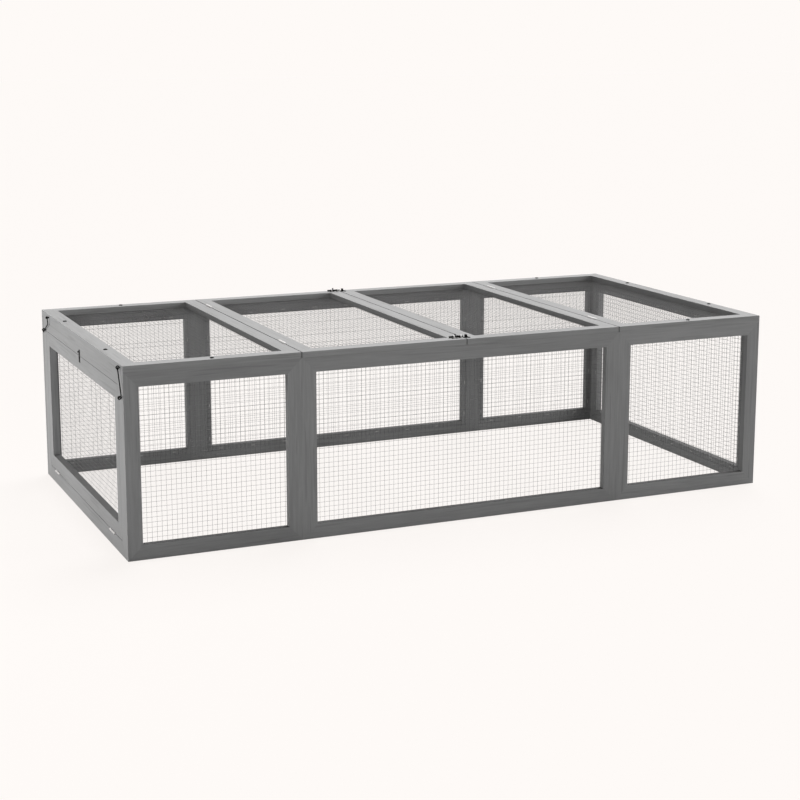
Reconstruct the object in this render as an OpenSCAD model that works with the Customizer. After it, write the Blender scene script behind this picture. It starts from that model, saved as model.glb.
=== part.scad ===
// Small animal hutch: a low outdoor run of mitred timber frames and welded wire mesh,
// with two hinged lids, a drop-down door in the left end, two barrel bolts and two
// cabin hooks. The ground side is open. Origin: middle of the footprint, on the ground.

/* [Overall size] */
// Length of the run, left end to right end
run_l = 1804; // [1400:1:2200]
// Depth of the run, front face to back face
run_d = 902; // [700:1:1100]
// Height from the ground to the top of the roof frames
run_h = 480; // [400:1:600]

/* [Timber frames] */
// Width of the battens, seen square on
batten_w = 37.5; // [32:0.5:48]
// Width of the upright battens of the left end frame and of its door
end_stile_w = 33; // [28:0.5:44]
// Thickness of the wall, end and door frames
wall_t = 19; // [17:0.5:24]
// Thickness of the roof frames
roof_t = 15; // [14:0.5:20]

/* [Clearances] */
// Gap between neighbouring roof frames
panel_gap = 2.5; // [2.2:0.1:3.5]
// Gap all round the end door
door_gap = 1; // [0.9:0.1:2]
// Gap under the lids where they lie on the walls
lid_rest = 0.3; // [0.2:0.05:0.6]
// Gap round a hinge leaf in its recess
recess_fit = 0.1; // [0.05:0.05:0.3]
// Gap between a hinge barrel and the timber
barrel_clear = 0.35; // [0.25:0.05:0.6]
// Gap round a screw in its hole, on the radius
screw_fit = 0.05; // [0.02:0.01:0.1]
// Gap between a hinge pin and the turning knuckle, on the radius
pin_fit = 0.05; // [0.03:0.01:0.1]
// Gap between neighbouring knuckles of a hinge
knuckle_gap = 0.2; // [0.15:0.05:0.4]
// Gap between a sliding bolt and its guides, on the radius
bolt_fit = 0.1; // [0.05:0.01:0.2]
// Gap between a shot bolt and the square hole of its keeper, on each side
keeper_fit = 0.3; // [0.2:0.05:0.5]

/* [Wire mesh] */
// Spacing of the wires
net_pitch = 50.8; // [50.8:12.7:101.6]
// Width of one wire
net_wire = 1.2; // [0.8:0.1:2]
// Thickness of one wire; where two cross, the mesh is twice as thick
net_t = 0.9; // [0.7:0.1:1.4]
// Gap between the edge of a sheet of mesh and the walls beside it
net_gap = 3.5; // [2:0.5:6]

/* [Hinges] */
// Length of a hinge along its pin
hinge_l = 48; // [36:1:60]
// Reach of a leaf from the middle of the pin
leaf_w = 13; // [11:0.5:14.5]
// Thickness of a leaf
leaf_t = 1; // [0.8:0.1:1.2]
// How deep a leaf is let into the timber
leaf_let_in = 0.5; // [0.4:0.1:0.8]
// Outer diameter of the barrel
barrel_d = 5.2; // [4.8:0.1:6]
// Diameter of the hinge pin
pin_d = 2.4; // [2:0.1:2.8]
// Height of the pin above the face of the timber
hinge_rise = 1.5; // [1.2:0.1:2.2]
// Distance from the front or back face to the middle of a hinge
hinge_inset = 142; // [110:1:200]

/* [Barrel bolts] */
// Distance from the front or back face to the middle of a bolt
bolt_inset = 21; // [18:0.5:24]
// Diameter of the bolt
bolt_d = 5; // [4:0.1:6]
// How far the bolt slides
bolt_travel = 12; // [10:0.5:12]
// Thickness of the bolt's plates
plate_t = 1; // [0.8:0.1:1.5]
// Width of the bolt's plates
plate_w = 16; // [15:0.5:20]

/* [Cabin hooks] */
// Diameter of the wire of the hooks and screw eyes
hook_wire = 2.8; // [2.4:0.1:2.8]
// Radius of a screw eye, to the middle of its wire
eye_r = 3.5; // [3.4:0.1:3.9]
// Reach of a hook from its pivot to its bent tip
hook_reach = 66; // [62:1:70]
// Length of the bent tip, from the middle of the bar
hook_tip = 22.5; // [21:0.5:23]
// Distance of the hooks' plane from the face of the end
hook_out = 5.5; // [5.4:0.1:7]
// Distance from the front face to the pivot of the front hook
front_hook_inset = 25; // [24:0.5:27]
// Distance from the back face to the pivot of the back hook
back_hook_inset = 44; // [40:0.5:46]

/* [Roof screws] */
// Diameter of the screws through the fixed roof frames
roof_screw_d = 3.5; // [3:0.1:4]
// Diameter of their heads
roof_head_d = 9; // [7:0.5:11]
// Distance from the outer faces to the screws
roof_screw_inset = 15.5; // [12:0.1:15.5]

/* [Hidden] */
// Piece to draw, or all of them
$fn = 48;
wood = [0.42, 0.42, 0.41];
steel = [0.72, 0.73, 0.74];
black = [0.09, 0.09, 0.09];
wire = [0.55, 0.56, 0.56];

wall_h = run_h - roof_t;
panel_w = (run_l - 3 * panel_gap) / 4;
seam_x = run_l / 2 - panel_w - panel_gap / 2;
quarter_w = run_l / 2 - seam_x;
mid_w = 2 * seam_x;
lid_t = roof_t - lid_rest;
lid_x = seam_x - panel_gap / 2;
net_inset = wall_t + net_gap;
end_d = run_d - 2 * wall_t;
door_d = end_d - 2 * end_stile_w - 2 * door_gap;
door_h = wall_h - 2 * batten_w - 2 * door_gap;
door_z = batten_w + door_gap;

hinge_y = run_d / 2 - hinge_inset;
knuckle_l = (hinge_l - 2 * knuckle_gap) / 3;
leaf_back = panel_gap / 2 + leaf_let_in;
leaf_root = pin_d / 2 + 0.15;
leaf_top = barrel_d / 2 + barrel_clear;
leaf_screw_d = 2.5;
leaf_head_d = 4.6;
leaf_screw_l = 14;
leaf_screw_y = hinge_l / 3;
leaf_screw_z = (leaf_top + leaf_w) / 2;
door_pin_x = -run_l / 2 - hinge_rise;
door_pin_z = batten_w + door_gap / 2;

bolt_y = run_d / 2 - bolt_inset;
bolt_z = plate_t + bolt_d / 2 + 0.6;
guide_w = bolt_d + 3;
guide_l = 3.5;
guide_x = [-30, -10];
knob_d = 3.4;
knob_x = guide_x[0] + guide_l + knob_d / 2 + 0.3;
bolt_nose = -2.5;
bolt_tail = guide_x[0] + 1 - bolt_travel;
bolt_l = bolt_nose - bolt_tail;
plate_screw_d = 2.4;
plate_head_d = 4;
plate_screw_l = 9;
plate_screw_y = plate_w / 2 - plate_head_d / 2 - 0.2;
plate_screw_x = [-22.8, -13.4];
keeper_screw_x = 12.6;
keeper_start = panel_gap / 2 + 1.5;
keeper_end = keeper_screw_x + 3.4;
keeper_x = 4.2;
keeper_l = 4.3;
keeper_hole = bolt_d + 2 * keeper_fit;
keeper_w = keeper_hole + 2.4;

hook_x = -run_l / 2 - hook_out;
front_hook_angle = -24;
back_hook_angle = 116;
eye_along = 18.5;
eye_turn = atan(eye_along / hook_reach);
eye_reach = (norm([hook_reach, eye_along]) + norm([hook_reach, hook_tip])) / 2;
front_pivot_y = -run_d / 2 + front_hook_inset;
front_pivot_z = run_h - roof_t / 2 + 1 - eye_r;
back_pivot_y = run_d / 2 - back_hook_inset;
back_pivot_z = run_h - roof_t / 2 - 0.5 + eye_reach * cos(back_hook_angle + eye_turn);
loop_r = 3.2;
bend_r = 2.6;
eye_screw_l = 14;

roof_screw_l = 36;
roof_screw_xy = [
    for (s = [-1, 1], t = [-1, 1]) each [
        [s * (run_l / 2 - panel_w / 2), t * (run_d / 2 - roof_screw_inset)],
        [s * (run_l / 2 - roof_screw_inset), t * run_d / 4]
    ]
];

// A frame lies in the XY plane with its inner face at z = 0. Its two upright battens
// have 45 degree mitres, or the nearest to it where the battens differ in width.
module frame_stiles(w, h, stile_w, rail_w, t) {
    for (side = [0, 1])
        translate([side * w, 0, 0])
            mirror([side, 0, 0])
                linear_extrude(t)
                    polygon([[0, 0], [stile_w, rail_w], [stile_w, h - rail_w], [0, h]]);
}

// The two crosswise battens of the same frame.
module frame_rails(w, h, stile_w, rail_w, t) {
    for (side = [0, 1])
        translate([0, side * h, 0])
            mirror([0, side, 0])
                linear_extrude(t)
                    polygon([[0, 0], [w, 0], [w - stile_w, rail_w], [stile_w, rail_w]]);
}

// Welded mesh on the inner face of a frame: crosswise wires on the battens, and upright
// wires behind them. It ends short of the walls that stand at right angles to it.
module frame_net(w, h) {
    net_w = w - 2 * net_inset;
    net_h = h - 2 * net_inset;
    columns = max(1, round(net_w / net_pitch));
    rows = max(1, round(net_h / net_pitch));
    for (j = [0 : rows])
        translate([net_inset, net_inset + j * (net_h - net_wire) / rows, -net_t])
            cube([net_w, net_wire, net_t]);
    for (i = [0 : columns])
        translate([net_inset + i * (net_w - net_wire) / columns, net_inset, -2 * net_t])
            cube([net_wire, net_h, net_t]);
}

// Places for the frames, each with its inner face towards the middle of the run.
module at_front(x) {
    translate([x, -run_d / 2 + wall_t, 0])
        rotate([90, 0, 0])
            children();
}

module at_back(x) {
    mirror([0, 1, 0])
        at_front(x)
            children();
}

module at_right_end(depth, z) {
    translate([run_l / 2 - wall_t, -depth / 2, z])
        rotate([90, 0, 90])
            children();
}

module at_left_end(depth, z) {
    mirror([1, 0, 0])
        at_right_end(depth, z)
            children();
}

module at_roof(x, z) {
    translate([x, -run_d / 2, z])
        children();
}

// Places for the hinges: the pin lies along Y, the leaves hang below it, and the
// turning leaf is on the +X side.
module at_lid_hinges(side) {
    for (t = [-1, 1])
        translate([side * seam_x, t * hinge_y, run_h + hinge_rise])
            mirror([side > 0 ? 1 : 0, 0, 0])
                children();
}

module at_door_hinges() {
    for (t = [-1, 1])
        translate([door_pin_x, t * hinge_y, door_pin_z])
            rotate([0, -90, 0])
                children();
}

module along_y(d, l) {
    rotate([90, 0, 0])
        cylinder(h = l, d = d, center = true);
}

module along_x(d, x0, x1) {
    translate([x0, 0, 0])
        rotate([0, 90, 0])
            cylinder(h = x1 - x0, d = d);
}

// Countersunk screws of one leaf, pointing along +X from the leaf's front face.
module leaf_screws_one(grow) {
    for (t = [-1, 1])
        translate([leaf_back - leaf_t, t * leaf_screw_y, -leaf_screw_z]) {
            rotate([0, 90, 0])
                cylinder(h = leaf_t, d1 = leaf_head_d + 2 * grow, d2 = leaf_screw_d + 2 * grow);
            along_x(leaf_screw_d + 2 * grow, 0, leaf_screw_l + grow);
        }
}

module leaf_screws(turning) {
    mirror([turning ? 0 : 1, 0, 0])
        leaf_screws_one(0);
}

// One hinge leaf. The fixed leaf has the two outer knuckles and grips the pin, and
// the turning leaf has the middle knuckle.
module leaf(turning) {
    knuckle_y = turning ? [0] : [-1, 1];
    mirror([turning ? 0 : 1, 0, 0])
        difference() {
            union() {
                translate([leaf_back - leaf_t, -hinge_l / 2, -leaf_w])
                    cube([leaf_t, hinge_l, leaf_w - leaf_top]);
                for (k = knuckle_y)
                    translate([0, k * (knuckle_l + knuckle_gap), 0]) {
                        along_y(barrel_d, knuckle_l);
                        translate([leaf_back - leaf_t, -knuckle_l / 2, -leaf_top - 0.5])
                            cube([leaf_t, knuckle_l, leaf_top + 0.5 - leaf_root]);
                    }
            }
            along_y(pin_d + (turning ? 2 * pin_fit : 0), hinge_l + 2);
            leaf_screws_one(screw_fit);
        }
}

// Timber taken away for one leaf, the barrel beside it and the leaf's screws.
module leaf_recess(turning) {
    mirror([turning ? 0 : 1, 0, 0]) {
        translate([0, -hinge_l / 2 - recess_fit, -leaf_w - recess_fit])
            cube([leaf_back, hinge_l + 2 * recess_fit, leaf_w + recess_fit + 2]);
        along_y(barrel_d + 2 * barrel_clear, hinge_l + 2 * barrel_clear);
        for (t = [-1, 1])
            translate([leaf_back, t * leaf_screw_y, -leaf_screw_z])
                along_x(leaf_screw_d + 2 * screw_fit, -1, leaf_screw_l - leaf_t + 1);
    }
}

// Roof screws, or the holes for them.
module roof_screw_shanks(grow) {
    for (p = roof_screw_xy)
        translate([p[0], p[1], run_h - roof_screw_l - grow])
            cylinder(h = roof_screw_l + 2 * grow, d = roof_screw_d + 2 * grow);
}

// Walls and ends.
module wall_stiles(w) {
    frame_stiles(w, wall_h, batten_w, batten_w, wall_t);
}

module wall_rails(w) {
    frame_rails(w, wall_h, batten_w, batten_w, wall_t);
}

module wall_net(w) {
    frame_net(w, wall_h);
}

module front_left_stiles() {
    color(wood)
        difference() {
            at_front(-run_l / 2)
                wall_stiles(quarter_w);
            screw_eye_shanks(screw_fit);
        }
}

module front_left_rails() {
    color(wood)
        difference() {
            at_front(-run_l / 2)
                wall_rails(quarter_w);
            roof_screw_shanks(screw_fit);
        }
}

module front_left_net() {
    color(wire)
        at_front(-run_l / 2)
            wall_net(quarter_w);
}

module front_mid_stiles() {
    color(wood)
        at_front(-seam_x)
            wall_stiles(mid_w);
}

module front_mid_rails() {
    color(wood)
        at_front(-seam_x)
            wall_rails(mid_w);
}

module front_mid_net() {
    color(wire)
        at_front(-seam_x)
            wall_net(mid_w);
}

module front_right_stiles() {
    color(wood)
        at_front(seam_x)
            wall_stiles(quarter_w);
}

module front_right_rails() {
    color(wood)
        difference() {
            at_front(seam_x)
                wall_rails(quarter_w);
            roof_screw_shanks(screw_fit);
        }
}

module front_right_net() {
    color(wire)
        at_front(seam_x)
            wall_net(quarter_w);
}

module back_left_stiles() {
    color(wood)
        at_back(-run_l / 2)
            wall_stiles(quarter_w);
}

module back_left_rails() {
    color(wood)
        difference() {
            at_back(-run_l / 2)
                wall_rails(quarter_w);
            roof_screw_shanks(screw_fit);
        }
}

module back_left_net() {
    color(wire)
        at_back(-run_l / 2)
            wall_net(quarter_w);
}

module back_mid_stiles() {
    color(wood)
        at_back(-seam_x)
            wall_stiles(mid_w);
}

module back_mid_rails() {
    color(wood)
        at_back(-seam_x)
            wall_rails(mid_w);
}

module back_mid_net() {
    color(wire)
        at_back(-seam_x)
            wall_net(mid_w);
}

module back_right_stiles() {
    color(wood)
        at_back(seam_x)
            wall_stiles(quarter_w);
}

module back_right_rails() {
    color(wood)
        difference() {
            at_back(seam_x)
                wall_rails(quarter_w);
            roof_screw_shanks(screw_fit);
        }
}

module back_right_net() {
    color(wire)
        at_back(seam_x)
            wall_net(quarter_w);
}

module right_end_stiles() {
    color(wood)
        at_right_end(end_d, 0)
            frame_stiles(end_d, wall_h, batten_w, batten_w, wall_t);
}

module right_end_rails() {
    color(wood)
        difference() {
            at_right_end(end_d, 0)
                frame_rails(end_d, wall_h, batten_w, batten_w, wall_t);
            roof_screw_shanks(screw_fit);
        }
}

module right_end_net() {
    color(wire)
        at_right_end(end_d, 0)
            frame_net(end_d, wall_h);
}

module left_end_stiles() {
    color(wood)
        difference() {
            at_left_end(end_d, 0)
                frame_stiles(end_d, wall_h, end_stile_w, batten_w, wall_t);
            screw_eye_shanks(screw_fit);
        }
}

module left_end_rails() {
    color(wood)
        difference() {
            at_left_end(end_d, 0)
                frame_rails(end_d, wall_h, end_stile_w, batten_w, wall_t);
            roof_screw_shanks(screw_fit);
            at_door_hinges()
                leaf_recess(false);
        }
}

// Drop-down door of the left end.
module door_stiles() {
    color(wood)
        at_left_end(door_d, door_z)
            frame_stiles(door_d, door_h, end_stile_w, batten_w, wall_t);
}

module door_rails() {
    color(wood)
        difference() {
            at_left_end(door_d, door_z)
                frame_rails(door_d, door_h, end_stile_w, batten_w, wall_t);
            at_door_hinges()
                leaf_recess(true);
        }
}

module door_net() {
    color(wire)
        at_left_end(door_d, door_z)
            frame_net(door_d, door_h);
}

// Roof frames. The outer two are screwed down and the inner two are the lids.
module panel_stiles(w, t) {
    frame_stiles(w, run_d, batten_w, batten_w, t);
}

module panel_rails(w, t) {
    frame_rails(w, run_d, batten_w, batten_w, t);
}

module panel_net(w) {
    frame_net(w, run_d);
}

module roof_left_stiles() {
    color(wood)
        difference() {
            at_roof(-run_l / 2, wall_h)
                panel_stiles(panel_w, roof_t);
            roof_screw_shanks(screw_fit);
            screw_eye_shanks(screw_fit);
            at_lid_hinges(-1)
                leaf_recess(false);
        }
}

module roof_left_rails() {
    color(wood)
        difference() {
            at_roof(-run_l / 2, wall_h)
                panel_rails(panel_w, roof_t);
            roof_screw_shanks(screw_fit);
        }
}

module roof_left_net() {
    color(wire)
        at_roof(-run_l / 2, wall_h)
            panel_net(panel_w);
}

module left_lid_stiles() {
    color(wood)
        difference() {
            at_roof(-lid_x, wall_h + lid_rest)
                panel_stiles(panel_w, lid_t);
            at_lid_hinges(-1)
                leaf_recess(true);
            at_bolts()
                bolt_plate_screws_one(screw_fit);
        }
}

module left_lid_rails() {
    color(wood)
        difference() {
            at_roof(-lid_x, wall_h + lid_rest)
                panel_rails(panel_w, lid_t);
            at_bolts()
                bolt_plate_screws_one(screw_fit);
        }
}

module left_lid_net() {
    color(wire)
        at_roof(-lid_x, wall_h + lid_rest)
            panel_net(panel_w);
}

module right_lid_stiles() {
    color(wood)
        difference() {
            at_roof(panel_gap / 2, wall_h + lid_rest)
                panel_stiles(panel_w, lid_t);
            at_lid_hinges(1)
                leaf_recess(true);
            at_bolts()
                bolt_keeper_screws_one(screw_fit);
        }
}

module right_lid_rails() {
    color(wood)
        difference() {
            at_roof(panel_gap / 2, wall_h + lid_rest)
                panel_rails(panel_w, lid_t);
            at_bolts()
                bolt_keeper_screws_one(screw_fit);
        }
}

module right_lid_net() {
    color(wire)
        at_roof(panel_gap / 2, wall_h + lid_rest)
            panel_net(panel_w);
}

module roof_right_stiles() {
    color(wood)
        difference() {
            at_roof(run_l / 2 - panel_w, wall_h)
                panel_stiles(panel_w, roof_t);
            roof_screw_shanks(screw_fit);
            at_lid_hinges(1)
                leaf_recess(false);
        }
}

module roof_right_rails() {
    color(wood)
        difference() {
            at_roof(run_l / 2 - panel_w, wall_h)
                panel_rails(panel_w, roof_t);
            roof_screw_shanks(screw_fit);
        }
}

module roof_right_net() {
    color(wire)
        at_roof(run_l / 2 - panel_w, wall_h)
            panel_net(panel_w);
}

// Hinges.
module fixed_leaves() {
    color(steel) {
        at_lid_hinges(-1)
            leaf(false);
        at_lid_hinges(1)
            leaf(false);
        at_door_hinges()
            leaf(false);
    }
}

module left_lid_leaves() {
    color(steel)
        at_lid_hinges(-1)
            leaf(true);
}

module right_lid_leaves() {
    color(steel)
        at_lid_hinges(1)
            leaf(true);
}

module door_leaves() {
    color(steel)
        at_door_hinges()
            leaf(true);
}

module hinge_pins() {
    color(steel) {
        at_lid_hinges(-1)
            along_y(pin_d, hinge_l);
        at_lid_hinges(1)
            along_y(pin_d, hinge_l);
        at_door_hinges()
            along_y(pin_d, hinge_l);
    }
}

module fixed_leaf_screws() {
    color(steel) {
        at_lid_hinges(-1)
            leaf_screws(false);
        at_lid_hinges(1)
            leaf_screws(false);
        at_door_hinges()
            leaf_screws(false);
    }
}

module left_lid_leaf_screws() {
    color(steel)
        at_lid_hinges(-1)
            leaf_screws(true);
}

module right_lid_leaf_screws() {
    color(steel)
        at_lid_hinges(1)
            leaf_screws(true);
}

module door_leaf_screws() {
    color(steel)
        at_door_hinges()
            leaf_screws(true);
}

// Barrel bolts across the middle seam, on the top face of the lids. The bolt slides
// along +X from its plate on the left lid into the keeper on the right lid.
module at_bolts() {
    for (t = [-1, 1])
        translate([0, t * bolt_y, run_h])
            children();
}

module guide(x, l, fit) {
    difference() {
        union() {
            translate([x, -guide_w / 2, plate_t])
                cube([l, guide_w, bolt_z - plate_t]);
            translate([0, 0, bolt_z])
                along_x(guide_w, x, x + l);
        }
        translate([0, 0, bolt_z])
            along_x(bolt_d + 2 * fit, x - 1, x + l + 1);
    }
}

module bolt_plates() {
    color(steel)
        at_bolts()
            difference() {
                union() {
                    translate([guide_x[0] - 1, -plate_w / 2, 0])
                        cube([guide_x[1] + guide_l + 2 - guide_x[0], plate_w, plate_t]);
                    for (x = guide_x)
                        guide(x, guide_l, bolt_fit);
                }
                bolt_plate_screws_one(screw_fit);
            }
}

module bolt_keepers() {
    color(steel)
        at_bolts()
            difference() {
                union() {
                    translate([keeper_start, -plate_w / 2, 0])
                        cube([keeper_end - keeper_start, plate_w, plate_t]);
                    translate([keeper_x, -keeper_w / 2, 0])
                        cube([keeper_l, keeper_w, bolt_z + keeper_w / 2]);
                }
                translate([keeper_x - 1, -keeper_hole / 2, bolt_z - keeper_hole / 2])
                    cube([keeper_l + 2, keeper_hole, keeper_hole]);
                bolt_keeper_screws_one(screw_fit);
            }
}

// The bolt, drawn back, with its tip just short of the seam.
module bolt_one() {
    translate([0, 0, bolt_z]) {
        translate([bolt_tail, 0, 0])
            rotate([0, 90, 0])
                rotate_extrude()
                    polygon([
                        [0, 0], [bolt_d / 2, 0], [bolt_d / 2, bolt_l - 0.6],
                        [bolt_d / 2 - 0.6, bolt_l], [0, bolt_l]
                    ]);
        translate([knob_x, 0, 0])
            cylinder(h = 5, d = knob_d);
        translate([knob_x, 0, 5])
            sphere(d = 4.6);
    }
}

module front_bolt() {
    color(steel)
        translate([0, -bolt_y, run_h])
            bolt_one();
}

module back_bolt() {
    color(steel)
        translate([0, bolt_y, run_h])
            bolt_one();
}

// One pan-head screw through a plate, pointing down, with its head on the plate.
module plate_screw(x, y, grow) {
    translate([x, y, 0]) {
        translate([0, 0, -plate_screw_l - grow])
            cylinder(h = plate_screw_l + plate_t + grow, d = plate_screw_d + 2 * grow);
        if (grow == 0)
            translate([0, 0, plate_t])
                cylinder(h = 1.1, d1 = plate_head_d, d2 = plate_head_d - 1);
        else
            translate([0, 0, plate_t])
                cylinder(h = 2, d = plate_screw_d + 2 * grow);
    }
}

module bolt_plate_screws_one(grow) {
    for (x = plate_screw_x, t = [-1, 1])
        plate_screw(x, t * plate_screw_y, grow);
}

module bolt_keeper_screws_one(grow) {
    for (t = [-1, 1])
        plate_screw(keeper_screw_x, t * (plate_screw_y - 1), grow);
}

module bolt_plate_screws() {
    color(black)
        at_bolts()
            bolt_plate_screws_one(0);
}

module bolt_keeper_screws() {
    color(black)
        at_bolts()
            bolt_keeper_screws_one(0);
}

// Part of a wire ring about the X axis, from one angle to another, both measured from
// hanging straight down, towards +Y.
module wire_arc(r, from, to) {
    rotate([from, 0, 0])
        rotate([0, 90, 0])
            rotate_extrude(angle = to - from)
                translate([r, 0])
                    circle(d = hook_wire);
}

// Cabin hook, bent from one wire: loop, bar, bend and tip. The angle is the bar's swing.
module hook(angle) {
    rotate([angle, 0, 0]) {
        wire_arc(loop_r, 0, 360);
        translate([0, 0, bend_r - hook_reach])
            cylinder(h = hook_reach - bend_r - loop_r, d = hook_wire);
        translate([0, bend_r, bend_r - hook_reach])
            wire_arc(bend_r, -90, 0);
        translate([0, bend_r, -hook_reach])
            rotate([-90, 0, 0])
                cylinder(h = hook_tip - bend_r, d = hook_wire);
        translate([0, hook_tip, -hook_reach])
            rotate([-90, 0, 0])
                cylinder(h = 0.6, d1 = hook_wire, d2 = hook_wire - 1);
    }
}

// The front hook hangs from the roof frame, with its tip in an eye on the front wall.
module at_front_hook() {
    translate([hook_x, front_pivot_y, front_pivot_z])
        children();
}

// The back hook turns on the end frame, with its tip up in an eye on the roof frame.
module at_back_hook() {
    translate([hook_x, back_pivot_y, back_pivot_z])
        mirror([0, 1, 0])
            children();
}

module front_hook() {
    color(black)
        at_front_hook()
            hook(front_hook_angle);
}

module back_hook() {
    color(black)
        at_back_hook()
            hook(back_hook_angle);
}

// The two screw eyes of one hook. Each ring stands in the plane of X and the line
// from the pivot, so that the hook's loop or tip can pass through it.
module at_eyes_of(angle) {
    translate([0, 0, eye_r])
        children();
    rotate([angle + eye_turn, 0, 0])
        translate([0, 0, -eye_reach])
            children();
}

module at_screw_eyes() {
    at_front_hook()
        at_eyes_of(front_hook_angle)
            children();
    at_back_hook()
        at_eyes_of(back_hook_angle)
            children();
}

module screw_eye_shanks(grow) {
    at_screw_eyes()
        along_x(hook_wire + 2 * grow, eye_r, hook_out + eye_screw_l + grow);
}

module screw_eyes() {
    color(black) {
        at_screw_eyes()
            rotate([0, 0, 90])
                wire_arc(eye_r, 0, 360);
        screw_eye_shanks(0);
    }
}

// Screws that hold the outer roof frames down on the walls and ends.
module roof_screws() {
    color(black) {
        roof_screw_shanks(0);
        for (p = roof_screw_xy)
            translate([p[0], p[1], run_h])
                cylinder(h = 1.8, d1 = roof_head_d, d2 = roof_head_d - 2.6);
    }
}

front_left_stiles();
front_left_rails();
front_left_net();
front_mid_stiles();
front_mid_rails();
front_mid_net();
front_right_stiles();
front_right_rails();
front_right_net();
back_left_stiles();
back_left_rails();
back_left_net();
back_mid_stiles();
back_mid_rails();
back_mid_net();
back_right_stiles();
back_right_rails();
back_right_net();
right_end_stiles();
right_end_rails();
right_end_net();
left_end_stiles();
left_end_rails();
door_stiles();
door_rails();
door_net();
roof_left_stiles();
roof_left_rails();
roof_left_net();
left_lid_stiles();
left_lid_rails();
left_lid_net();
right_lid_stiles();
right_lid_rails();
right_lid_net();
roof_right_stiles();
roof_right_rails();
roof_right_net();
fixed_leaves();
left_lid_leaves();
right_lid_leaves();
door_leaves();
hinge_pins();
fixed_leaf_screws();
left_lid_leaf_screws();
right_lid_leaf_screws();
door_leaf_screws();
bolt_plates();
front_bolt();
back_bolt();
bolt_keepers();
bolt_plate_screws();
bolt_keeper_screws();
front_hook();
back_hook();
screw_eyes();
roof_screws();
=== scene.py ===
import math
import random

import bmesh
import bpy
from mathutils import Matrix, Vector


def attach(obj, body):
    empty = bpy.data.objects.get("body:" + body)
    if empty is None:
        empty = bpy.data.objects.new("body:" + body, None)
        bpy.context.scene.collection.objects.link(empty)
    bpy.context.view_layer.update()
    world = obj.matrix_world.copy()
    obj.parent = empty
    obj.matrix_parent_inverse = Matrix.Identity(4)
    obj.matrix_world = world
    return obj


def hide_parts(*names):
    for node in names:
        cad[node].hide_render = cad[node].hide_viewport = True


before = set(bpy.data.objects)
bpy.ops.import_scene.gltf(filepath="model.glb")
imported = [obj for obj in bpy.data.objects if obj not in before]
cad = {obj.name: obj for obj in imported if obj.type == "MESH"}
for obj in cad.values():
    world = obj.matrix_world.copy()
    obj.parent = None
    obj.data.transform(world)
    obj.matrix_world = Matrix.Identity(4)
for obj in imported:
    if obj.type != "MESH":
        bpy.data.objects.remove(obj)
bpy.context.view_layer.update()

# Sizes of the run in metres, as in the source.
LENGTH, DEPTH, HEIGHT = 1.804, 0.902, 0.480
BATTEN, END_STILE = 0.0375, 0.033
WALL_T, ROOF_T = 0.019, 0.015
GAP, DOOR_GAP, LID_REST = 0.0025, 0.001, 0.0003
NET_INSET = 0.0225
WALL_H = HEIGHT - ROOF_T
PANEL_W = (LENGTH - 3 * GAP) / 4
SEAM_X = LENGTH / 2 - PANEL_W - GAP / 2
END_D = DEPTH - 2 * WALL_T
DOOR_D = END_D - 2 * END_STILE - 2 * DOOR_GAP
DOOR_H = WALL_H - 2 * BATTEN - 2 * DOOR_GAP
DOOR_Z = BATTEN + DOOR_GAP
QUARTER = LENGTH / 2 - SEAM_X

# Welded mesh: the usual half inch pitch, with the upright wires behind the crosswise ones.
PITCH = 0.0127
WIRE_R = 0.00029
UPRIGHT_LIFT = 2.8 * WIRE_R
WIRE_DRIFT, DRIFT_STEP = 0.00022, 0.11

# Staples: one every eighth wire, each this far inside the edge of the batten or of the mesh,
# and the two half widths of their flat wire.
STAPLE_STEP, STAPLE_START, STAPLE_LAP = 8, 3, 0.0075
STAPLE_WIDE, STAPLE_THICK = 0.00055, 0.0004

# Places of the screws: on the outer roof frames, on the bolts' plates and on their keepers.
ROOF_SCREW_INSET = 0.0155
BOLT_Y = DEPTH / 2 - 0.021
PLATE_SCREW_X, PLATE_SCREW_Y = (-0.0228, -0.0134), 0.0058
KEEPER_SCREW_X, KEEPER_SCREW_Y = 0.0126, 0.0048
PLATE_TOP = HEIGHT + 0.001

# Head radius and height, shank radius and length.
ROOF_SCREW = (0.0053, 0.0024, 0.00175, 0.036)
BOLT_SCREW = (0.002, 0.0011, 0.0012, 0.010)

X, Y, Z = Vector((1, 0, 0)), Vector((0, 1, 0)), Vector((0, 0, 1))
START, END, EDGE = -LENGTH / 2, LENGTH / 2, -DEPTH / 2
FRONT, BACK = -DEPTH / 2 + WALL_T, DEPTH / 2 - WALL_T
RIGHT, LEFT = LENGTH / 2 - WALL_T, -LENGTH / 2 + WALL_T
LID_Z = WALL_H + LID_REST

FLOOR_REACH, FLOOR_Z = 40, -0.0006

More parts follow.
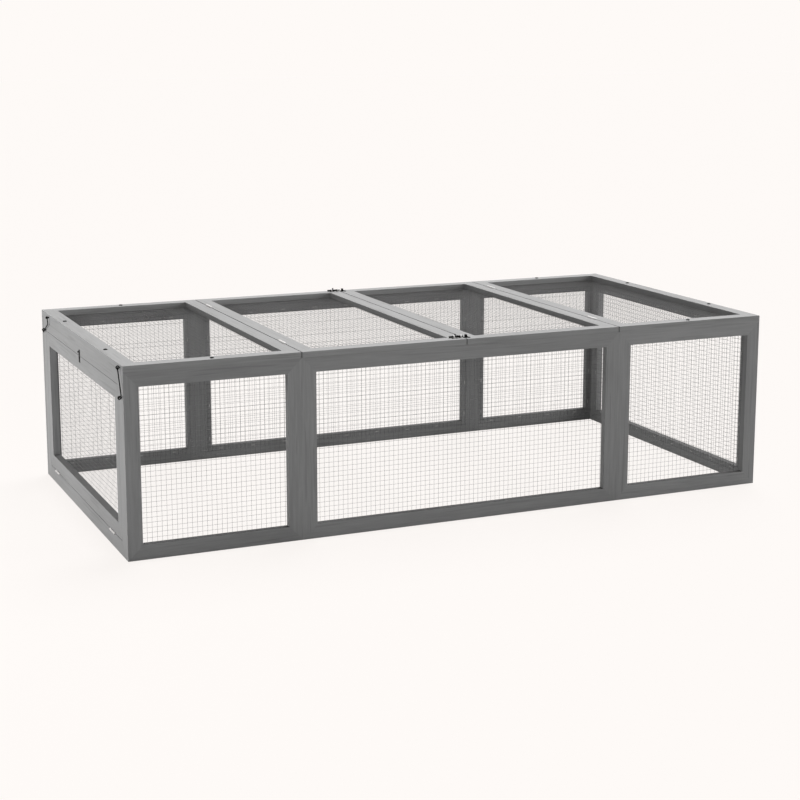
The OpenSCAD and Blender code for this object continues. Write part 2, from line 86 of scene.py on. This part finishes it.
# Every frame: name, body, corner of its inner face, directions across and up, direction
# to the inside of the run, width, height and width of its stiles.
FRAMES = [
    ("front_left", "run", (START, FRONT, 0), X, Z, Y, QUARTER, WALL_H, BATTEN),
    ("front_mid", "run", (-SEAM_X, FRONT, 0), X, Z, Y, 2 * SEAM_X, WALL_H, BATTEN),
    ("front_right", "run", (SEAM_X, FRONT, 0), X, Z, Y, QUARTER, WALL_H, BATTEN),
    ("back_left", "run", (START, BACK, 0), X, Z, -Y, QUARTER, WALL_H, BATTEN),
    ("back_mid", "run", (-SEAM_X, BACK, 0), X, Z, -Y, 2 * SEAM_X, WALL_H, BATTEN),
    ("back_right", "run", (SEAM_X, BACK, 0), X, Z, -Y, QUARTER, WALL_H, BATTEN),
    ("right_end", "run", (RIGHT, -END_D / 2, 0), Y, Z, -X, END_D, WALL_H, BATTEN),
    ("door", "end_door", (LEFT, -DOOR_D / 2, DOOR_Z), Y, Z, X, DOOR_D, DOOR_H, END_STILE),
    ("roof_left", "run", (START, EDGE, WALL_H), X, Y, -Z, PANEL_W, DEPTH, BATTEN),
    ("left_lid", "left_lid", (-GAP / 2 - PANEL_W, EDGE, LID_Z), X, Y, -Z, PANEL_W, DEPTH, BATTEN),
    ("right_lid", "right_lid", (GAP / 2, EDGE, LID_Z), X, Y, -Z, PANEL_W, DEPTH, BATTEN),
    ("roof_right", "run", (END - PANEL_W, EDGE, WALL_H), X, Y, -Z, PANEL_W, DEPTH, BATTEN),
]


# Materials.
def material(name):
    made = bpy.data.materials.new(name)
    made.use_nodes = True
    tree = made.node_tree
    return made, tree, tree.nodes["Principled BSDF"]


def noise(tree, scale, detail, stretch=(1, 1, 1)):
    """Noise in the piece's own coordinates, finer along the axes with a bigger stretch."""
    place = tree.nodes.new("ShaderNodeTexCoord")
    mapping = tree.nodes.new("ShaderNodeMapping")
    mapping.inputs["Scale"].default_value = stretch
    texture = tree.nodes.new("ShaderNodeTexNoise")
    texture.inputs["Scale"].default_value = scale
    texture.inputs["Detail"].default_value = detail
    texture.inputs["Roughness"].default_value = 0.55
    tree.links.new(place.outputs["Object"], mapping.inputs["Vector"])
    tree.links.new(mapping.outputs["Vector"], texture.inputs["Vector"])
    return texture.outputs["Fac"]


def spread(tree, value, low, high, to_low, to_high):
    ranged = tree.nodes.new("ShaderNodeMapRange")
    ranged.inputs["From Min"].default_value = low
    ranged.inputs["From Max"].default_value = high
    ranged.inputs["To Min"].default_value = to_low
    ranged.inputs["To Max"].default_value = to_high
    tree.links.new(value, ranged.inputs["Value"])
    return ranged.outputs["Result"]


def blend_colour(tree, factor, a, b):
    mix = tree.nodes.new("ShaderNodeMix")
    mix.data_type = "RGBA"
    for socket, colour in ((mix.inputs["A"], a), (mix.inputs["B"], b)):
        if isinstance(colour, tuple):
            socket.default_value = (*colour, 1)
        else:
            tree.links.new(colour, socket)
    tree.links.new(factor, mix.inputs["Factor"])
    return mix.outputs["Result"]


def combine(tree, operation, *values):
    node = tree.nodes.new("ShaderNodeMath")
    node.operation = operation
    for value, socket in zip(values, node.inputs):
        tree.links.new(value, socket)
    return node.outputs["Value"]


def product(tree, a, b):
    return combine(tree, "MULTIPLY", a, b)


def either(tree, a, b):
    return combine(tree, "MAXIMUM", a, b)


def bump(tree, shader, height, strength, distance):
    raised = tree.nodes.new("ShaderNodeBump")
    raised.inputs["Strength"].default_value = strength
    raised.inputs["Distance"].default_value = distance
    tree.links.new(height, raised.inputs["Height"])
    tree.links.new(raised.outputs["Normal"], shader.inputs["Normal"])


def grey(value):
    return (value, value, value)


def parts_of(tree, vector):
    split = tree.nodes.new("ShaderNodeSeparateXYZ")
    tree.links.new(vector, split.inputs["Vector"])
    return split.outputs["X"], split.outputs["Y"], split.outputs["Z"]


def painted_shade(tree):
    """1 where shade is painted: on top of the bottom rails and along the upper edges of the sides
    of the roof's seams.
    """
    place = tree.nodes.new("ShaderNodeTexCoord")
    x, _, z = parts_of(tree, place.outputs["Object"])
    facing_x, _, facing_z = parts_of(tree, place.outputs["Normal"])
    upwards = spread(tree, facing_z, 0.5, 0.9, 0, 1)
    low_down = spread(tree, z, 0.10, 0.16, 1, 0)
    near, past = 0.004, 0.006
    off_middle = combine(tree, "ABSOLUTE", x)
    at_middle = spread(tree, off_middle, near, past, 1, 0)
    at_hinges = product(
        tree,
        spread(tree, off_middle, SEAM_X - past, SEAM_X - near, 0, 1),
        spread(tree, off_middle, SEAM_X + near, SEAM_X + past, 1, 0),
    )
    sideways = spread(tree, combine(tree, "ABSOLUTE", facing_x), 0.3, 0.7, 0, 1)
    near_top = spread(tree, z, HEIGHT - 0.006, HEIGHT - 0.002, 0, 1)
    in_seam = product(tree, product(tree, either(tree, at_hinges, at_middle), sideways), near_top)
    return either(tree, product(tree, upwards, low_down), in_seam)


def wood(axis, shade):
    """Planed softwood with a thin grey stain, its grain along one axis of the run.

    The shade scales the batten's colour, 1 being the usual one; the back wall's lower values are
    painted shade."""
    made, tree, shader = material("grey_wood_%s_%d" % (axis, round(100 * shade)))

    def grain(detail, along, across):
        return noise(tree, 1, detail, [along if a == axis else across for a in "xyz"])

    streak, fibre = grain(5, 9, 210), grain(3, 30, 900)
    tone, late = grain(2, 2.2, 9), grain(2, 4.5, 170)
    early = spread(tree, streak, 0.36, 0.64, 0, 1)
    grained = blend_colour(tree, early, grey(0.345 * shade), grey(0.42 * shade))
    fine = spread(tree, fibre, 0.3, 0.7, 0, 0.35)
    fibred = blend_colour(tree, fine, grained, grey(0.31 * shade))
    rings = spread(tree, late, 0.60, 0.66, 0, 0.55)
    ringed = blend_colour(tree, rings, fibred, grey(0.25 * shade))
    patch = spread(tree, tone, 0.35, 0.65, 0, 0.3)
    toned = blend_colour(tree, patch, ringed, grey(0.455 * shade))
    # Painted shade: the tops of the bottom rails and the upper edges of the roof's seams are
    # blended towards near black.
    painted_shade_amount = spread(tree, painted_shade(tree), 0, 1, 0, 0.85)
    colour = blend_colour(tree, painted_shade_amount, toned, grey(0.05))
    tree.links.new(colour, shader.inputs["Base Color"])
    rough = spread(tree, streak, 0.3, 0.7, 0.58, 0.74)
    tree.links.new(rough, shader.inputs["Roughness"])
    shader.inputs["Specular IOR Level"].default_value = 0.15
    bump(tree, shader, product(tree, streak, fibre), 0.35, 0.0006)
    return made


def galvanised():
    """Dull zinc on the wires, mottled."""
    made, tree, shader = material("galvanised_wire")
    mottle = noise(tree, 420, 3)
    zinc = spread(tree, mottle, 0.35, 0.65, 0, 1)
    colour = blend_colour(tree, zinc, (0.11, 0.11, 0.112), (0.18, 0.18, 0.183))
    tree.links.new(colour, shader.inputs["Base Color"])
    tree.links.new(spread(tree, mottle, 0.3, 0.7, 0.42, 0.60), shader.inputs["Roughness"])
    shader.inputs["Metallic"].default_value = 0.3
    bump(tree, shader, mottle, 0.2, 0.0001)
    return made


def zinc_plate(name, low, high):
    """Zinc plate with fine rolling marks: bright on the hinges, duller on the bolts."""
    made, tree, shader = material(name)
    marks = noise(tree, 1, 4, (60, 900, 900))
    cloud = noise(tree, 90, 2)
    clouded = spread(tree, cloud, 0.3, 0.7, 0, 1)
    colour = blend_colour(tree, clouded, grey(low), grey(high))
    tree.links.new(colour, shader.inputs["Base Color"])
    tree.links.new(spread(tree, marks, 0.3, 0.7, 0.36, 0.52), shader.inputs["Roughness"])
    shader.inputs["Metallic"].default_value = 0.8
    bump(tree, shader, marks, 0.15, 0.0001)
    return made


def black_finish():
    """Black phosphate on the hooks, eyes and screws, a little rubbed."""
    made, tree, shader = material("black_finish")
    cloud = noise(tree, 260, 4)
    rubbed = spread(tree, cloud, 0.45, 0.75, 0, 1)
    colour = blend_colour(tree, rubbed, grey(0.004), grey(0.018))
    tree.links.new(colour, shader.inputs["Base Color"])
    tree.links.new(spread(tree, cloud, 0.3, 0.7, 0.72, 0.58), shader.inputs["Roughness"])
    shader.inputs["Specular IOR Level"].default_value = 0.07
    bump(tree, shader, cloud, 0.2, 0.0001)
    return made


def black_paint():
    """Stencil paint of the panel number, a little worn by the grain below it."""
    made, tree, shader = material("stencil_paint")
    wear = noise(tree, 1, 4, (700, 60, 700))
    worn = spread(tree, wear, 0.55, 0.8, 0, 1)
    colour = blend_colour(tree, worn, grey(0.012), grey(0.03))
    tree.links.new(colour, shader.inputs["Base Color"])
    tree.links.new(spread(tree, wear, 0.3, 0.7, 0.7, 0.85), shader.inputs["Roughness"])
    shader.inputs["Specular IOR Level"].default_value = 0.15
    bump(tree, shader, wear, 0.2, 0.0001)
    return made


# Battens whose colour is scaled from the usual 1. The back wall's are darker as painted shade,
# for the shade on its inner face. The front's rails go from darker at the left to lighter at the
# right, and some battens of the ends and the roof are a little darker or lighter.
SHADES = {
    "front_left_rails": 0.90, "front_mid_rails": 0.96,
    "front_right_rails": 1.07, "front_right_stiles": 1.03,
    "back_left_stiles": 0.82, "back_left_rails": 0.86,
    "back_mid_stiles": 0.82, "back_mid_rails": 0.84,
    "back_right_stiles": 0.82, "back_right_rails": 0.86,
    "left_end_rails": 0.95, "door_rails": 0.95,
    "roof_left_stiles": 0.95, "roof_right_rails": 1.03,
    "left_lid_rails": 1.04,
}
WOOD = {}
ZINC = zinc_plate("zinc_plate", 0.66, 0.78)
DULL_ZINC = zinc_plate("zinc_plate_dull", 0.30, 0.42)
WIRE, BLACK, PAINT = galvanised(), black_finish(), black_paint()


def wood_for(name, axis):
    key = (axis, SHADES.get(name, 1.0))
    if key not in WOOD:
        WOOD[key] = wood(*key)
    return WOOD[key]


def dress(name, finish):
    data = cad[name].data
    data.materials.clear()
    data.materials.append(finish)


def round_edges(name, width):
    bevel = cad[name].modifiers.new("worn_edges", "BEVEL")
    bevel.width = width
    bevel.segments = 2
    bevel.limit_method = "ANGLE"
    bevel.angle_limit = math.radians(40)
    bevel.harden_normals = True


def edge_width(name):
    """The door and the roof frames have crisper edges than the walls."""
    if name.startswith(("door", "left_end")):
        return 0.0003
    return 0.0004 if name.startswith(("roof", "left_lid", "right_lid")) else 0.0007


def finish_cad_nodes():
    grain = {"left_end_stiles": "z", "left_end_rails": "y"}
    for name, _, _, across, up, *_ in FRAMES:
        grain[name + "_stiles"] = "y" if up == Y else "z"
        grain[name + "_rails"] = "y" if across == Y else "x"
    for name in cad:
        if name in grain:
            dress(name, wood_for(name, grain[name]))
            round_edges(name, edge_width(name))
        elif name.endswith(("_hook", "_eyes", "_screws", "_bolt", "_keepers")):
            dress(name, BLACK)
        elif name.endswith("_net"):
            dress(name, WIRE)
        elif name == "bolt_plates":
            dress(name, DULL_ZINC)
        else:
            dress(name, ZINC)


# New pieces.
def add_piece(name, mesh, finish, body, smooth=True):
    data = bpy.data.meshes.new(name)
    mesh.to_mesh(data)
    mesh.free()
    data.materials.append(finish)
    for face in data.polygons:
        face.use_smooth = smooth
    piece = bpy.data.objects.new(name, data)
    bpy.context.scene.collection.objects.link(piece)
    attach(piece, body)
    return piece


def around(ring):
    """Each item of a ring with the one after it."""
    return zip(ring, ring[1:] + ring[:1])


def close_between(mesh, low, high):
    for (a, b), (c, d) in zip(around(low), around(high)):
        mesh.faces.new((a, b, d, c))


def tube(mesh, path, side_a, side_b, radius_a, radius_b, sides):
    """A capped tube along a path, its section an ellipse on two fixed directions."""
    rings = []
    for point in path:
        ring = []
        for k in range(sides):
            turn = 2 * math.pi * (k + 0.5) / sides
            offset = side_a * (radius_a * math.cos(turn)) + side_b * (radius_b * math.sin(turn))
            ring.append(mesh.verts.new(point + offset))
        rings.append(ring)
    for low, high in zip(rings, rings[1:]):
        close_between(mesh, low, high)
    mesh.faces.new(list(reversed(rings[0])))
    mesh.faces.new(rings[-1])


def wire_path(rng, start, along, length, inward):
    """A wire that is very nearly straight, as it comes off the roll."""
    across = along.cross(inward)
    steps = max(2, round(length / DRIFT_STEP))
    points = []
    for k in range(steps + 1):
        aside = 0 if k in (0, steps) else rng.uniform(-WIRE_DRIFT, WIRE_DRIFT)
        points.append(start + along * (length * k / steps) + across * aside)
    return points


def count_wires(span):
    """How many wires lie side by side in a width of mesh, and where the first one lies."""
    number = int(span / PITCH) + 1
    return number, (span - (number - 1) * PITCH) / 2


def welded_mesh(rng, name, body, corner, across, up, inward, width, height):
    mesh = bmesh.new()
    corner = Vector(corner)
    net_w, net_h = width - 2 * NET_INSET, height - 2 * NET_INSET
    for along, length, sideways, span, lift in (
        (across, net_w, up, net_h, WIRE_R),
        (up, net_h, across, net_w, UPRIGHT_LIFT),
    ):
        number, first = count_wires(span)
        for i in range(number):
            aside = NET_INSET + first + i * PITCH
            start = corner + along * NET_INSET + sideways * aside + inward * lift
            path = wire_path(rng, start, along, length, inward)
            tube(mesh, path, sideways, inward, WIRE_R, WIRE_R, sides=6)
    bmesh.ops.recalc_face_normals(mesh, faces=mesh.faces)
    piece = add_piece(name + "_mesh", mesh, WIRE, body)
    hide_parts(name + "_net")


def staple(mesh, middle, along, inward, depth):
    """One staple over a wire: a flat crown with two rounded shoulders and two legs."""
    half, leg, shoulder = 0.0048, -0.004, 0.0009
    bend = 0.3 * shoulder
    side = along.cross(inward)
    outline = [
        (-half, leg), (-half, depth - shoulder), (-half + bend, depth - bend),
        (-half + shoulder, depth), (half - shoulder, depth),
        (half - bend, depth - bend), (half, depth - shoulder), (half, leg),
    ]
    for a, b in zip(outline, outline[1:]):
        run = Vector((b[0] - a[0], b[1] - a[1])).normalized()
        normal = along * -run.y + inward * run.x
        path = [middle + along * p[0] + inward * p[1] for p in (a, b)]
        tube(mesh, path, side, normal, STAPLE_WIDE, STAPLE_THICK, sides=4)


def staples(rng, name, body, corner, across, up, inward, width, height, stile_w):
    mesh = bmesh.new()
    corner = Vector(corner)
    crossing, first_up = count_wires(height - 2 * NET_INSET)
    upright, first_across = count_wires(width - 2 * NET_INSET)
    over_upright = UPRIGHT_LIFT + WIRE_R + STAPLE_THICK
    over_crossing = 2 * WIRE_R + STAPLE_THICK
    for edge in (NET_INSET + STAPLE_LAP, height - NET_INSET - STAPLE_LAP):
        for i in range(STAPLE_START, upright - STAPLE_START, STAPLE_STEP):
            across_at = NET_INSET + first_across + i * PITCH
            spot = corner + across * across_at + up * (edge + rng.uniform(-0.002, 0.002))
            staple(mesh, spot, across, inward, over_upright)
    for edge in (stile_w - STAPLE_LAP, width - stile_w + STAPLE_LAP):
        for j in range(STAPLE_START, crossing - STAPLE_START, STAPLE_STEP):
            up_at = NET_INSET + first_up + j * PITCH
            spot = corner + up * up_at + across * (edge + rng.uniform(-0.0015, 0.0015))
            staple(mesh, spot, up, inward, over_crossing)
    bmesh.ops.recalc_face_normals(mesh, faces=mesh.faces)
    add_piece(name + "_staples", mesh, ZINC, body, smooth=False)


def ring_of(mesh, middle, radius, z, count):
    ring = []
    for k in range(count):
        turn = 2 * math.pi * k / count
        offset = Vector((radius * math.cos(turn), radius * math.sin(turn), z))
        ring.append(mesh.verts.new(middle + offset))
    return ring


def cross_of(mesh, middle, reach, half, z, turn):
    corners = [
        (reach, -half), (reach, half), (half, half), (half, reach),
        (-half, reach), (-half, half), (-reach, half), (-reach, -half),
        (-half, -half), (-half, -reach), (half, -reach), (half, -half),
    ]
    rotation = Matrix.Rotation(turn, 3, "Z")
    return [mesh.verts.new(middle + rotation @ Vector((x, y, z))) for x, y in corners]


def pan_screw(mesh, middle, size, turn):
    """A pan-head screw with a cross recess, standing on the surface at its middle."""
    head_r, head_h, shank_r, shank_l = size
    outline = [(shank_r, -shank_l), (shank_r, 0), (head_r, 0)]
    for r, h in ((1, 0.30), (0.94, 0.60), (0.80, 0.84), (0.62, 0.97)):
        outline.append((head_r * r, head_h * h))
    rings = [ring_of(mesh, middle, radius, z, count=28) for radius, z in outline]
    mesh.faces.new(list(reversed(rings[0])))
    for low, high in zip(rings, rings[1:]):
        close_between(mesh, low, high)
    rim = cross_of(mesh, middle, head_r * 0.50, head_r * 0.12, head_h, turn)
    floor = cross_of(mesh, middle, head_r * 0.26, head_r * 0.09, 0.35 * head_h, turn)
    edges = [mesh.edges.new(pair) for pair in around(rim)]
    edges += [mesh.edges.get(pair) for pair in around(rings[-1])]
    bmesh.ops.triangle_fill(mesh, use_beauty=True, edges=edges)
    close_between(mesh, floor, rim)
    mesh.faces.new(floor)


def pan_screws(rng, name, body, places, z, size, node):
    mesh = bmesh.new()
    for x, y in places:
        pan_screw(mesh, Vector((x, y, z)), size, rng.uniform(0, math.pi / 2))
    bmesh.ops.recalc_face_normals(mesh, faces=mesh.faces)
    piece = add_piece(name, mesh, BLACK, body, smooth=False)
    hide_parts(node)


def number_mark(name, body, outline):
    """Part of the panel number on the left end, a thin layer of paint."""
    mesh = bmesh.new()
    skin, depth = -LENGTH / 2 - 0.0002, 0.0003
    outer = [mesh.verts.new((skin, y, z)) for y, z in outline]
    inner = [mesh.verts.new((skin + depth, y, z)) for y, z in outline]
    mesh.faces.new(outer)
    mesh.faces.new(list(reversed(inner)))
    close_between(mesh, inner, outer)
    bmesh.ops.recalc_face_normals(mesh, faces=mesh.faces)
    add_piece(name, mesh, PAINT, body, smooth=False)


def build_screws(rng):
    sides = (-1, 1)
    roof, plate = [], []
    for s in sides:
        for t in sides:
            roof.append((s * (LENGTH / 2 - PANEL_W / 2), t * (DEPTH / 2 - ROOF_SCREW_INSET)))
            roof.append((s * (LENGTH / 2 - ROOF_SCREW_INSET), t * DEPTH / 4))
        for x in PLATE_SCREW_X:
            plate += [(x, s * BOLT_Y + t * PLATE_SCREW_Y) for t in sides]
    keeper = [(KEEPER_SCREW_X, s * BOLT_Y + t * KEEPER_SCREW_Y) for s in sides for t in sides]
    for name, body, places, z, size, node in (
        ("roof_screw_heads", "run", roof, HEIGHT, ROOF_SCREW, "roof_screws"),
        ("bolt_plate_screw_heads", "left_lid", plate, PLATE_TOP, BOLT_SCREW, "bolt_plate_screws"),
        ("keeper_screw_heads", "right_lid", keeper, PLATE_TOP, BOLT_SCREW, "bolt_keeper_screws"),
    ):
        pan_screws(rng, name, body, places, z, size, node)


def build_number():
    """The panel number, 1, across the door's seam: the lower half moves with the door."""
    stem, middle = 0.0080, -0.0045
    right, left, flag, peak = middle - stem, middle + stem, middle + 0.021, middle + 0.004
    low, seam_low, seam_high, top = 0.409, DOOR_Z + DOOR_H, WALL_H - BATTEN, 0.443
    number_mark("number_low", "end_door", [
        (right, low), (left, low), (left, seam_low), (right, seam_low),
    ])
    number_mark("number_high", "run", [
        (right, seam_high), (left, seam_high), (left, 0.4345), (flag, 0.4310),
        (flag, 0.4360), (left, 0.4390), (peak, top), (right, top),
    ])


def build_pieces():
    rng = random.Random(12)
    for name, body, corner, across, up, inward, width, height, stile_w in FRAMES:
        welded_mesh(rng, name, body, corner, across, up, inward, width, height)
        staples(rng, name, body, corner, across, up, inward, width, height, stile_w)
    build_screws(rng)
    build_number()


# Camera, fitted to the corners of the run in the photograph.
def add_camera():
    data = bpy.data.cameras.new("camera")
    data.sensor_width = 36
    data.lens = 76.0
    data.shift_y = -0.0625
    data.clip_start, data.clip_end = 0.1, 100
    camera = bpy.data.objects.new("camera", data)
    camera.location = (-1.86937, -4.28620, 1.25629)
    camera.rotation_euler = (math.radians(90 - 10.697), 0, math.radians(-23.673))
    bpy.context.scene.collection.objects.link(camera)
    bpy.context.scene.camera = camera


def add_lamp(name, place, target, size, power):
    data = bpy.data.lights.new(name, "AREA")
    data.shape = "RECTANGLE"
    data.size, data.size_y = size
    data.energy = power
    lamp = bpy.data.objects.new(name, data)
    lamp.location = place
    lamp.rotation_euler = (Vector(target) - Vector(place)).to_track_quat("-Z", "Y").to_euler()
    lamp.visible_camera = False
    lamp.visible_glossy = False
    bpy.context.scene.collection.objects.link(lamp)


def seen_directly(tree):
    """1 for rays that show the background itself, in the view, in metal or through glass."""
    path = tree.nodes.new("ShaderNodeLightPath").outputs
    in_view_or_metal = either(tree, path["Is Camera Ray"], path["Is Glossy Ray"])
    return either(tree, in_view_or_metal, path["Is Transmission Ray"])


def add_sun(name, towards, angle, strength):
    data = bpy.data.lights.new(name, "SUN")
    data.angle = math.radians(angle)
    data.energy = strength
    sun = bpy.data.objects.new(name, data)
    sun.rotation_euler = Vector(towards).to_track_quat("Z", "Y").to_euler()
    bpy.context.scene.collection.objects.link(sun)


# The pale backdrop of the photograph, a white that is a little warm. The floor glows with
# it less what its own faint colour gives back.
BACKDROP = (0.991, 0.955, 0.930)
FLOOR_SHARE = 0.08


def add_world():
    world = bpy.data.worlds.new("studio")
    bpy.context.scene.world = world
    world.use_nodes = True
    tree = world.node_tree
    tree.nodes.clear()
    soft = tree.nodes.new("ShaderNodeBackground")
    soft.inputs["Color"].default_value = (1, 1, 1, 1)
    soft.inputs["Strength"].default_value = 0.12
    white = tree.nodes.new("ShaderNodeBackground")
    white.inputs["Color"].default_value = (*BACKDROP, 1)
    white.inputs["Strength"].default_value = 1.0
    mix = tree.nodes.new("ShaderNodeMixShader")
    out = tree.nodes.new("ShaderNodeOutputWorld")
    tree.links.new(seen_directly(tree), mix.inputs["Fac"])
    tree.links.new(soft.outputs["Background"], mix.inputs[1])
    tree.links.new(white.outputs["Background"], mix.inputs[2])
    tree.links.new(mix.outputs["Shader"], out.inputs["Surface"])


def add_floor():
    """A pale floor. Seen directly it glows like the backdrop and still takes a faint shadow."""
    mesh = bmesh.new()
    corners = []
    for x, y in ((-1, -1), (1, -1), (1, 1), (-1, 1)):
        corners.append(mesh.verts.new((x * FLOOR_REACH, y * FLOOR_REACH, FLOOR_Z)))
    mesh.faces.new(corners)
    data = bpy.data.meshes.new("floor")
    mesh.to_mesh(data)
    mesh.free()
    made, tree, bounce = material("pale_floor")
    seen = tree.nodes.new("ShaderNodeBsdfPrincipled")
    for shader, colour in ((bounce, grey(0.28)), (seen, grey(0.07))):
        shader.inputs["Base Color"].default_value = (*colour, 1)
        shader.inputs["Roughness"].default_value = 0.9
        shader.inputs["Specular IOR Level"].default_value = 0.0
    seen.inputs["Emission Color"].default_value = (*[c - FLOOR_SHARE for c in BACKDROP], 1)
    seen.inputs["Emission Strength"].default_value = 1.0
    mix = tree.nodes.new("ShaderNodeMixShader")
    tree.links.new(seen_directly(tree), mix.inputs["Fac"])
    tree.links.new(bounce.outputs["BSDF"], mix.inputs[1])
    tree.links.new(seen.outputs["BSDF"], mix.inputs[2])
    tree.links.new(mix.outputs["Shader"], tree.nodes["Material Output"].inputs["Surface"])
    data.materials.append(made)
    floor = bpy.data.objects.new("floor", data)
    bpy.context.scene.collection.objects.link(floor)


add_camera()
finish_cad_nodes()
build_pieces()
add_floor()
add_world()
add_sun("overhead", towards=(0.45, 0.40, 1.0), angle=40, strength=3.4)
add_sun("side", towards=(0.87, -0.5, 0.2), angle=30, strength=1.25)
add_lamp(
    "left", place=(-2.30, 0.22, 0.36), target=(-0.9, -0.38, 0.20), size=(1.3, 0.40), power=16.5,
)

bpy.context.scene.view_settings.view_transform = "Standard"
